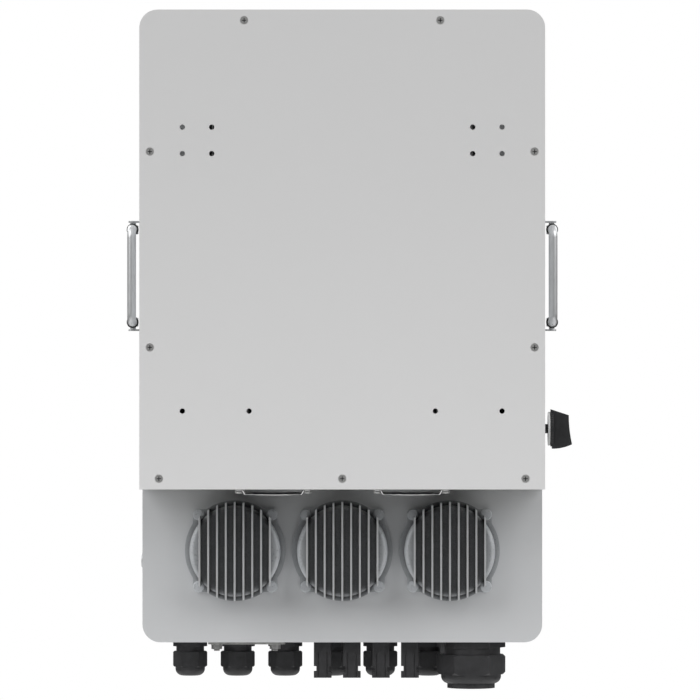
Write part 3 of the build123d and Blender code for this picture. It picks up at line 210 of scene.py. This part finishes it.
LONGWAYS = (1, 1, 0.04)
SURFACES = {
    "rear_plate_paint": dict(rough=(0.5, 0.6), grain=0.0007, bump=0.05, cloud=0.25, swing=0.006),
    "housing_paint": dict(rough=(0.46, 0.6), grain=0.0008, bump=0.12, cloud=0.12, swing=0.02),
    "cover_paint": dict(rough=(0.42, 0.55), grain=0.0008, bump=0.1, cloud=0.2, swing=0.012),
    # Painted shade: the crevice entry darkens the pots' colour between the fins and in their hollows.
    "cast_aluminium": dict(metallic=0.3, rough=(0.45, 0.7), grain=0.0009, bump=0.7, cloud=0.02, swing=0.1,
                           specks=0.45, crevice_shade=(0.016, 0.16)),
    "sink_aluminium": dict(metallic=0.9, rough=(0.3, 0.45), grain=0.0005, bump=0.2, stretch=LONGWAYS),
    "zinc_steel": dict(metallic=0.85, rough=(0.3, 0.5), grain=0.004, bump=0.08, cloud=0.01, swing=0.14),
    # Painted shade: the crevice entry darkens the screws' colour in their recesses and round their heads.
    "screw_steel": dict(metallic=0.8, rough=(0.3, 0.45), grain=0.0003, bump=0.15, cloud=0.004, swing=0.1,
                        crevice_shade=(0.0022, 0.08)),
    "handle_steel": dict(metallic=0.55, rough=(0.3, 0.42), grain=0.0004, bump=0.03, cloud=0.01, swing=0.04),
    "guard_chrome": dict(metallic=1.0, rough=(0.06, 0.16), grain=0.001, bump=0.04, cloud=0.02),
    "black_nylon": dict(rough=(0.38, 0.56), grain=0.0005, bump=0.25, cloud=0.01, swing=0.25),
    "fan_plastic": dict(rough=(0.35, 0.5), grain=0.0006, bump=0.15, cloud=0.01, swing=0.2),
    "knob_plastic": dict(rough=(0.36, 0.5), grain=0.0005, bump=0.3, cloud=0.01, swing=0.2),
    "collar_plastic": dict(rough=(0.3, 0.42), grain=0.0006, bump=0.1, cloud=0.02),
    "rubber_black": dict(rough=(0.65, 0.85), grain=0.0008, bump=0.35, cloud=0.01, swing=0.3),
    "key_plastic": dict(rough=(0.45, 0.6), grain=0.0004, bump=0.2, cloud=0.01, swing=0.08),
    "light_lens": dict(rough=(0.15, 0.3), grain=0.0006, bump=0.1, cloud=0.002, swing=0.08, coat=0.5),
    "display_plastic": dict(rough=(0.4, 0.55), grain=0.0006, bump=0.15, cloud=0.01, swing=0.1),
    "components": dict(rough=(0.35, 0.6), grain=0.0008, bump=0.2, cloud=0.015, swing=0.3),
    "terminal_plastic": dict(rough=(0.4, 0.55), grain=0.0006, bump=0.15, cloud=0.01, swing=0.08),
    "copper": dict(metallic=0.8, rough=(0.22, 0.4), grain=0.0012, bump=0.3, cloud=0.004, swing=0.15, coat=0.4),
    "ferrite": dict(rough=(0.5, 0.7), grain=0.001, bump=0.3, cloud=0.01, swing=0.15),
}

materials = {slot: surface(slot, slot_colour[slot], **look) for slot, look in SURFACES.items()}
materials["window_glass"] = window_material("window_glass")
materials["board_green"] = board_material("board_green", slot_colour["board_green"])
mark_white = surface("mark_white", (0.75, 0.76, 0.76), rough=(0.5, 0.6), bump=0.05)
# Lighter metal for the pot fin tips: partly a milled finish, partly a painted highlight where the tips catch the
# light.
tip_finish_and_highlight = surface("milled_edge_and_highlight", (0.86, 0.87, 0.88), metallic=0.6, rough=(0.28, 0.42), grain=0.0004,
                   bump=0.12, stretch=LONGWAYS, cloud=0.02, swing=0.05)
# Painted shade: near-black metal that stands for the shade inside the screws' cross recesses.
recess_painted_shade = surface("recess_painted_shade", (0.05, 0.05, 0.052), metallic=0.5, rough=(0.4, 0.6), grain=0.0004, bump=0.2)


# ---------------------------------------------------------------- mesh tools

def add_piece(name, bm, slot, body=HOUSING, replaces=(), material=None, smooth=35):
    """Turn a bmesh into a shown piece that rides on a body."""
    mesh = bpy.data.meshes.new(name)
    bmesh.ops.recalc_face_normals(bm, faces=bm.faces)
    bm.to_mesh(mesh)
    bm.free()
    mesh.materials.append(material or materials[slot])
    mesh.shade_smooth()
    mesh.set_sharp_from_angle(angle=radians(smooth))
    piece = bpy.data.objects.new(name, mesh)
    scene.collection.objects.link(piece)
    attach(piece, body)
    if replaces:
        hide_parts(*replaces)
    return piece


def add_bevel(piece, width, segments=2, angle=35):
    """Rounded sharp edges, with normals that keep the faces flat."""
    bevel = piece.modifiers.new("soft_edges", "BEVEL")
    bevel.width = width
    bevel.segments = segments
    bevel.limit_method = "ANGLE"
    bevel.angle_limit = radians(angle)
    bevel.harden_normals = True
    return piece


def soften(node, width, segments=2, angle=35, flat=0.3):
    """A copy of a CAD node with its flat faces joined up and its edges rounded, which stands for it."""
    bm = bmesh.new()
    bm.from_mesh(frame["nodes"][node].data)
    bmesh.ops.remove_doubles(bm, verts=bm.verts, dist=WELD)
    bmesh.ops.dissolve_limit(bm, angle_limit=radians(flat), verts=bm.verts, edges=bm.edges)
    piece = add_piece(node + "_skin", bm, node_slot[node], node_body[node], (node,))
    if "custom_normal" in piece.data.attributes:
        piece.data.attributes.remove(piece.data.attributes["custom_normal"])
    return add_bevel(piece, width, segments, angle)


def rounded_path(points, bend, steps=10):
    """Line through points with each corner turned into an arc."""
    points = [Vector(point) for point in points]
    path = [points[0]]
    for before, corner, after in zip(points, points[1:], points[2:]):
        back = (before - corner).normalized()
        ahead = (after - corner).normalized()
        half = back.angle(ahead) / 2
        centre = corner + (back + ahead).normalized() * bend / sin(half)
        start = corner + back * bend / tan(half) - centre
        turn = pi - 2 * half
        axis = start.cross(corner + ahead * bend / tan(half) - centre).normalized()
        path += [centre + Quaternion(axis, turn * n / steps) @ start for n in range(steps + 1)]
    return path + [points[-1]]


def tube(bm, path, r, sides=24, closed=False):
    """Round bar along a path."""
    count = len(path)
    side = None
    rings = []
    for n, point in enumerate(path):
        last, following = (n - 1, (n + 1) % count) if closed else (max(n - 1, 0), min(n + 1, count - 1))
        forward = (path[following] - path[last]).normalized()
        side = forward.orthogonal() if side is None else side
        side = (side - forward * side.dot(forward)).normalized()
        up = forward.cross(side)
        turns = [tau * k / sides for k in range(sides)]
        rings.append([bm.verts.new(point + (side * cos(a) + up * sin(a)) * r) for a in turns])
    pairs = list(zip(rings, rings[1:])) + ([(rings[-1], rings[0])] if closed else [])
    for low, high in pairs:
        for k in range(sides):
            bm.faces.new((low[k], low[(k + 1) % sides], high[(k + 1) % sides], high[k]))
    if not closed:
        bm.faces.new(rings[0])
        bm.faces.new(rings[-1])


def fillet_profile(points, size, steps=4, loop=False):
    """Round the corners of a lathe profile; each point may carry its own size."""
    flat = [Vector(point[:2]) for point in points]
    sizes = [point[2] if len(point) > 2 else size for point in points]
    count = len(flat)
    profile = []
    for n, corner in enumerate(flat):
        if (not loop and n in (0, count - 1)) or sizes[n] == 0:
            profile.append(corner)
            continue
        back = flat[n - 1] - corner
        ahead = flat[(n + 1) % count] - corner
        reach = min(sizes[n], back.length * 0.49, ahead.length * 0.49)
        start = corner + back.normalized() * reach
        end = corner + ahead.normalized() * reach
        for k in range(steps + 1):
            t = k / steps
            profile.append(start * (1 - t) ** 2 + corner * 2 * t * (1 - t) + end * t ** 2)
    return profile


def lathe(bm, profile, place, sides=64, loop=False):
    """Solid of revolution about the local Z axis from (radius, height) points, given low to high."""
    rings = []
    for point in profile:
        if point[0] < 1e-7:
            rings.append([bm.verts.new(place @ Vector((0, 0, point[1])))])
        else:
            rings.append([bm.verts.new(place @ Vector((point[0] * cos(tau * k / sides),
                                                       point[0] * sin(tau * k / sides), point[1])))
                          for k in range(sides)])
    pairs = list(zip(rings, rings[1:])) + ([(rings[-1], rings[0])] if loop else [])
    for low, high in pairs:
        for k in range(sides):
            after = (k + 1) % sides
            ring = [low[k % len(low)], low[after % len(low)], high[after % len(high)], high[k % len(high)]]
            corners = list(dict.fromkeys(ring))
            if len(corners) > 2:
                bm.faces.new(corners)


def rounded_rectangle(width, height, r, steps=6):
    """Outline points of a rectangle with round corners, centred on the origin."""
    points = []
    for quarter, (sx, sy) in enumerate(((1, 1), (-1, 1), (-1, -1), (1, -1))):
        centre = Vector((sx * (width / 2 - r), sy * (height / 2 - r)))
        for k in range(steps + 1):
            angle = (quarter + k / steps) * pi / 2
            points.append(centre + Vector((cos(angle), sin(angle))) * r)
    return points


def prism(bm, outline, place, low, high):
    """Extrude an outline along the local Z axis."""
    bottom = [bm.verts.new(place @ Vector((*point, low))) for point in outline]
    top = [bm.verts.new(place @ Vector((*point, high))) for point in outline]
    bm.faces.new(bottom)
    bm.faces.new(top)
    for k in range(len(outline)):
        after = (k + 1) % len(outline)
        bm.faces.new((bottom[k], bottom[after], top[after], top[k]))


def facing(origin, out, up):
    """Placement whose local Z points out of a face and whose local Y points up along it."""
    out = Vector(out).normalized()
    up = Vector(up).normalized()
    across = up.cross(out)
    turn = Matrix((across, up, out)).transposed().to_4x4()
    return Matrix.Translation(Vector(origin)) @ turn


def centre_of(node):
    low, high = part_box(node)
    return (Vector(low) + Vector(high)) / 2


# ---------------------------------------------------------------- enclosure

def enclosure():
    soften("rear_cover_plate", 0.5 * MM, 2)
    soften("duct_frame", 0.35 * MM, 1)
    soften("main_housing", 0.7 * MM, 2)
    soften("front_cover", 0.5 * MM, 2)
    soften("wiring_cover", 0.5 * MM, 2)
    soften("fan_plate", 0.4 * MM, 1)
    soften("heatsink", 0.3 * MM, 1)
    for node in ("handle_screws", "fan_screws", "front_cover_screws", "wiring_cover_screws"):
        soften(node, 0.12 * MM, 2)


def plate_screw_heads():
    """Countersunk heads that sit a little below the plate, with a groove round each, and dark bars in their cross
    recesses as painted shade.
    """
    bm = bmesh.new()
    for x, z in screw_centres("rear_plate_screws", 0, 2):
        place = facing((x, -0.5 * MM, z), (0, 1, 0), (0, 0, 1))
        r = SCREW_HEAD_R
        rim = [(r - 0.75 * MM, 0.38 * MM, 0.1 * MM), (r - 0.5 * MM, 0), (r - 0.05 * MM, -0.02 * MM)]
        lathe(bm, [(0, 0.40 * MM)] + fillet_profile(rim, 0.1 * MM) + [(r - 0.05 * MM, -1 * MM), (0, -1 * MM)],
              place, 40)
    add_piece("plate_screw_heads", bm, "screw_steel", smooth=30)
    # Thin dark bars on each head: painted shade standing in for the hollow of the cross recess.
    bm = bmesh.new()
    for x, z in screw_centres("rear_plate_screws", 0, 2):
        for turn in (0, 90):
            place = facing((x, -0.1 * MM, z), (0, 1, 0), (0, 0, 1)) @ Matrix.Rotation(radians(turn), 4, "Z")
            prism(bm, rounded_rectangle(*RECESS, 3), place, -0.3 * MM, 0.03 * MM)
    add_piece("plate_screw_recess_shade", bm, "screw_steel", material=recess_painted_shade)


def screw_centres(node, first, second):
    """Centres of the separate solids of a fastener group, along two axes."""
    bm = bmesh.new()
    bm.from_mesh(frame["nodes"][node].data)
    bmesh.ops.remove_doubles(bm, verts=bm.verts, dist=WELD)
    left = set(bm.verts)
    centres = []
    while left:
        queue = [left.pop()]
        island = []
        while queue:
            vertex = queue.pop()
            island.append(vertex.co.copy())
            near = {edge.other_vert(vertex) for edge in vertex.link_edges} & left
            left -= near
            queue += near
        spans = [(min(co[axis] for co in island) + max(co[axis] for co in island)) / 2
                 for axis in (first, second)]
        centres.append(tuple(spans))
    bm.free()
    return sorted(centres)


def pots():
    """Cast inductor cups with rounded edges, bright fin tips and a boss on each ear; the tips' lighter metal is
    partly a milled finish and partly a painted highlight.
    """
    for side in ("left", "middle", "right"):
        node = "inductor_pot_" + side
        piece = soften(node, 0.7 * MM, 3)
        # Fin-tip faces that face +Y get the lighter metal: a painted highlight on top of the milled finish.
        piece.data.materials.append(tip_finish_and_highlight)
        low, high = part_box(node)
        tip = high[1] - 0.3 * MM
        for face in piece.data.polygons:
            if face.normal.y > 0.9 and face.center.y > tip:
                face.material_index = 1
        bm = bmesh.new()
        centre = centre_of(node)
        flange = low[1] + POT_FLANGE_T
        for sx in (-1, 1):
            for sz in (-1, 1):
                ear = (centre.x + sx * POT_SCREW_X, flange, centre.z + sz * POT_SCREW_Z)
                profile = [(0, 1.1 * MM), (5.4 * MM, 1.1 * MM), (6.3 * MM, -0.3 * MM), (0, -0.3 * MM)]
                lathe(bm, fillet_profile(profile, 0.5 * MM), facing(ear, (0, 1, 0), (0, 0, 1)), 40)
        add_piece(node + "_bosses", bm, "cast_aluminium")


# ---------------------------------------------------------------- handles and switch

def handle(side):
    """Satin bar bent twice, with an eye and a pivot stub at the end of each leg and a dark collar whose black is
    partly painted shade.
    """
    node = "handle_bail_" + side
    low, high = (Vector(corner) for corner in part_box(node))
    pivot = Vector(joints[f"handle_{side}_swing"]["pos_m"])
    eye = BAR_R + EYE_MARGIN
    grip_y = high.y - BAR_R
    bm = bmesh.new()
    corners = [(pivot.x, pivot.y, pivot.z + LEG), (pivot.x, grip_y, pivot.z + LEG),
               (pivot.x, grip_y, pivot.z - LEG), (pivot.x, pivot.y, pivot.z - LEG)]
    tube(bm, rounded_path(corners, BEND_R, 14), BAR_R, 32)
    stub = (high.z - low.z) / 2 - LEG
    for sign in (-1, 1):
        up = Vector((0, 0, sign))
        profile = [(0, -BAR_R), (eye, -BAR_R), (eye, BAR_R), (PIN_R, BAR_R), (PIN_R, stub), (0, stub)]
        lathe(bm, fillet_profile(profile, 0.9 * MM), facing(pivot + up * LEG, up, (1, 0, 0)), 40)
    add_piece(node + "_bar", bm, node_slot[node], node_body[node], (node,), smooth=50)
    leg_collars(node, pivot)
    soften("handle_bracket_" + side, 0.4 * MM, 2)


def leg_collars(node, pivot):
    """Black buffer ring round each leg; its black is partly the rubber's own colour and partly painted shade for
    the shadow arc round the leg.
    """
    bm = bmesh.new()
    inner = BAR_R - 0.3 * MM
    profile = [(inner, -1.5 * MM), (LEG_COLLAR_R, -1.5 * MM), (LEG_COLLAR_R, 1.5 * MM), (inner, 1.5 * MM)]
    for sign in (-1, 1):
        place = facing(pivot + Vector((0, LEG_COLLAR_REACH, sign * LEG)), (0, 1, 0), (0, 0, 1))
        lathe(bm, fillet_profile(profile, 0.8 * MM, loop=True), place, 40, loop=True)
    add_piece(node + "_buffer_and_shade_rings", bm, "rubber_black", node_body[node])


def switch():
    """Rotary switch: knob with a pointer line, a light collar and its neck."""
    soften("dc_switch_knob", 0.5 * MM, 2)
    soften("dc_switch_collar", 0.3 * MM, 2)
    soften("dc_switch_body", 0.5 * MM, 2)
    pointer()


def pointer():
    """White line set into the outer end of the knob."""
    node = "dc_switch_knob"
    low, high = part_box(node)
    axis = Vector(joints["dc_switch_turn"]["pos_m"])
    bm = bmesh.new()
    tilt = Matrix.Rotation(radians(10.6), 3, "Y") @ Vector((-1, 0, 0))
    lower = Vector((low[0] + 1.35 * MM, axis.y, low[2] + 9.5 * MM))
    along = Vector((tilt.z, 0, -tilt.x)).normalized()
    place = facing(lower, tilt, along)
    prism(bm, rounded_rectangle(*POINTER, 3), place, -0.9 * MM, 0.12 * MM)
    add_piece("dc_switch_pointer", bm, "knob_plastic", node_body[node], material=mark_white)


# ---------------------------------------------------------------- fans

def fan(side):
    """Fan housing, rotor and chrome wire guard."""
    soften("fan_frame_" + side, 0.4 * MM, 2)
    soften("fan_rotor_" + side, 0.25 * MM, 2)
    node = "fan_guard_" + side
    low, high = (Vector(corner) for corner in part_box(node))
    centre = (low + high) / 2
    ring_z = low.z + WIRE_R
    eye_z = high.z - WIRE_R
    arm_z = ring_z + 0.5 * MM
    reach = ((high.x - low.x) / 2 - GUARD_EYE_R - WIRE_R) * 2 ** 0.5
    bm = bmesh.new()

    def ring(x, y, z, r, sides):
        turns = [tau * k / sides for k in range(sides)]
        path = [centre + Vector((x + r * cos(a), y + r * sin(a), z - centre.z)) for a in turns]
        tube(bm, path, WIRE_R, 12, True)

    for r in GUARD_RINGS:
        ring(0, 0, ring_z, r, 56)
    for quarter in range(4):
        out = Vector((cos(pi / 4 + quarter * pi / 2), sin(pi / 4 + quarter * pi / 2), 0))
        ring(out.x * reach, out.y * reach, eye_z, GUARD_EYE_R, 28)
        end = reach - GUARD_EYE_R
        corners = [(GUARD_ARM[0], arm_z), (GUARD_ARM[1], arm_z), (end - 2.2 * MM, eye_z), (end, eye_z)]
        points = [Vector((centre.x, centre.y, 0)) + out * span + Vector((0, 0, z)) for span, z in corners]
        tube(bm, rounded_path(points, 1.8 * MM, 5), WIRE_R, 12)
    add_piece(node + "_wire", bm, node_slot[node], node_body[node], (node,), smooth=60)


# ---------------------------------------------------------------- bottom fittings

def fittings():
    for node in ("gland_bodies", "gland_nuts"):
        soften(node, 0.45 * MM, 2)
    for node in ("battery_gland_body", "battery_gland_nut"):
        soften(node, 0.8 * MM, 3)
    for node in ("gland_seals", "battery_gland_seal"):
        soften(node, 0.3 * MM, 2)
    soften("pv_connectors", 0.5 * MM, 2)
    soften("earth_bar", 0.3 * MM, 2)
    soften("earth_bolts", 0.3 * MM, 2)
    soften("signal_connector", 0.25 * MM, 2)
    soften("power_button", 0.3 * MM, 2)
    soften("power_switch_body", 0.3 * MM, 2)


def front_panel():
    soften("display_window", 0.3 * MM, 2)
    soften("display_module", 0.3 * MM, 1)
    soften("indicator_lights", 0.3 * MM, 2)
    for key in ("escape", "up", "down", "enter"):
        soften("button_" + key, 0.4 * MM, 3)


# ---------------------------------------------------------------- studio

def paint_cad_nodes():
    """Every CAD node gets its slot's finish, for those that no piece replaces."""
    for node, thing in frame["nodes"].items():
        thing.data.materials.clear()
        thing.data.materials.append(materials[node_slot[node]])


def sun(name, towards, strength, angle):
    data = bpy.data.lights.new(name, "SUN")
    data.energy = strength
    data.angle = radians(angle)
    lamp = bpy.data.objects.new(name, data)
    lamp.rotation_euler = Vector(towards).to_track_quat("Z", "Y").to_euler()
    scene.collection.objects.link(lamp)


def studio():
    """White backdrop, dim sky that brightens upwards, and soft light from both sides above."""
    world = bpy.data.worlds.new("studio")
    world.use_nodes = True
    scene.world = world
    tree = world.node_tree
    background = tree.nodes["Background"]
    direction = add_node(tree, "TexCoord").outputs["Generated"]
    height = add_node(tree, "SeparateXYZ", {"Vector": direction}).outputs["Z"]
    sky = spread(tree, height, 0.01, 0.6, -0.05, 0.9)
    shown = add_node(tree, "LightPath").outputs["Is Camera Ray"]
    strength = add_node(tree, "Mix", {0: shown, 2: sky, 3: 1.0}, data_type="FLOAT").outputs[0]
    tree.links.new(strength, background.inputs["Strength"])
    background.inputs["Color"].default_value = (1, 1, 1, 1)
    sun("left_softbox", (0.8, 0.5, 0.62), 1.63, 55)
    sun("right_softbox", (-0.8, 0.5, 0.62), 1.4, 55)
    sun("front_left_softbox", (0.6, -0.8, 0.6), 0.98, 40)
    sun("front_right_softbox", (-0.7, -0.7, 0.45), 0.63, 40)
    scene.view_settings.view_transform = "Standard"


def floor():
    """Pale floor well below the wall-hung object."""
    bm = bmesh.new()
    bmesh.ops.create_grid(bm, x_segments=8, y_segments=8, size=1.3)
    mesh = bpy.data.meshes.new("floor")
    bm.to_mesh(mesh)
    bm.free()
    piece = bpy.data.objects.new("floor", mesh)
    piece.location = (0, 0, cad_box[0].z - 0.5)
    scene.collection.objects.link(piece)
    material, tree, shader = new_material("floor_paint")
    speckle = noise(tree, object_coords(tree), 0.4, 3.0)
    tree.links.new(blend_colour(tree, speckle, (0.7, 0.7, 0.7), (0.74, 0.74, 0.74)), shader.inputs["Base Color"])
    shader.inputs["Roughness"].default_value = 0.8
    mesh.materials.append(material)


def camera():
    """Long lens, straight behind the object."""
    data = bpy.data.cameras.new("camera")
    data.sensor_width = 36
    data.lens = 289.5
    data.clip_end = 60
    view = bpy.data.objects.new("camera", data)
    view.location = (-0.0081, 5.852, -0.1045)
    view.rotation_euler = (radians(90), 0, radians(180))
    scene.collection.objects.link(view)
    scene.camera = view


paint_cad_nodes()
enclosure()
plate_screw_heads()
pots()
for side in ("left", "right"):
    handle(side)
    fan(side)
switch()
fittings()
front_panel()
studio()
floor()
camera()

bpy.context.view_layer.update()
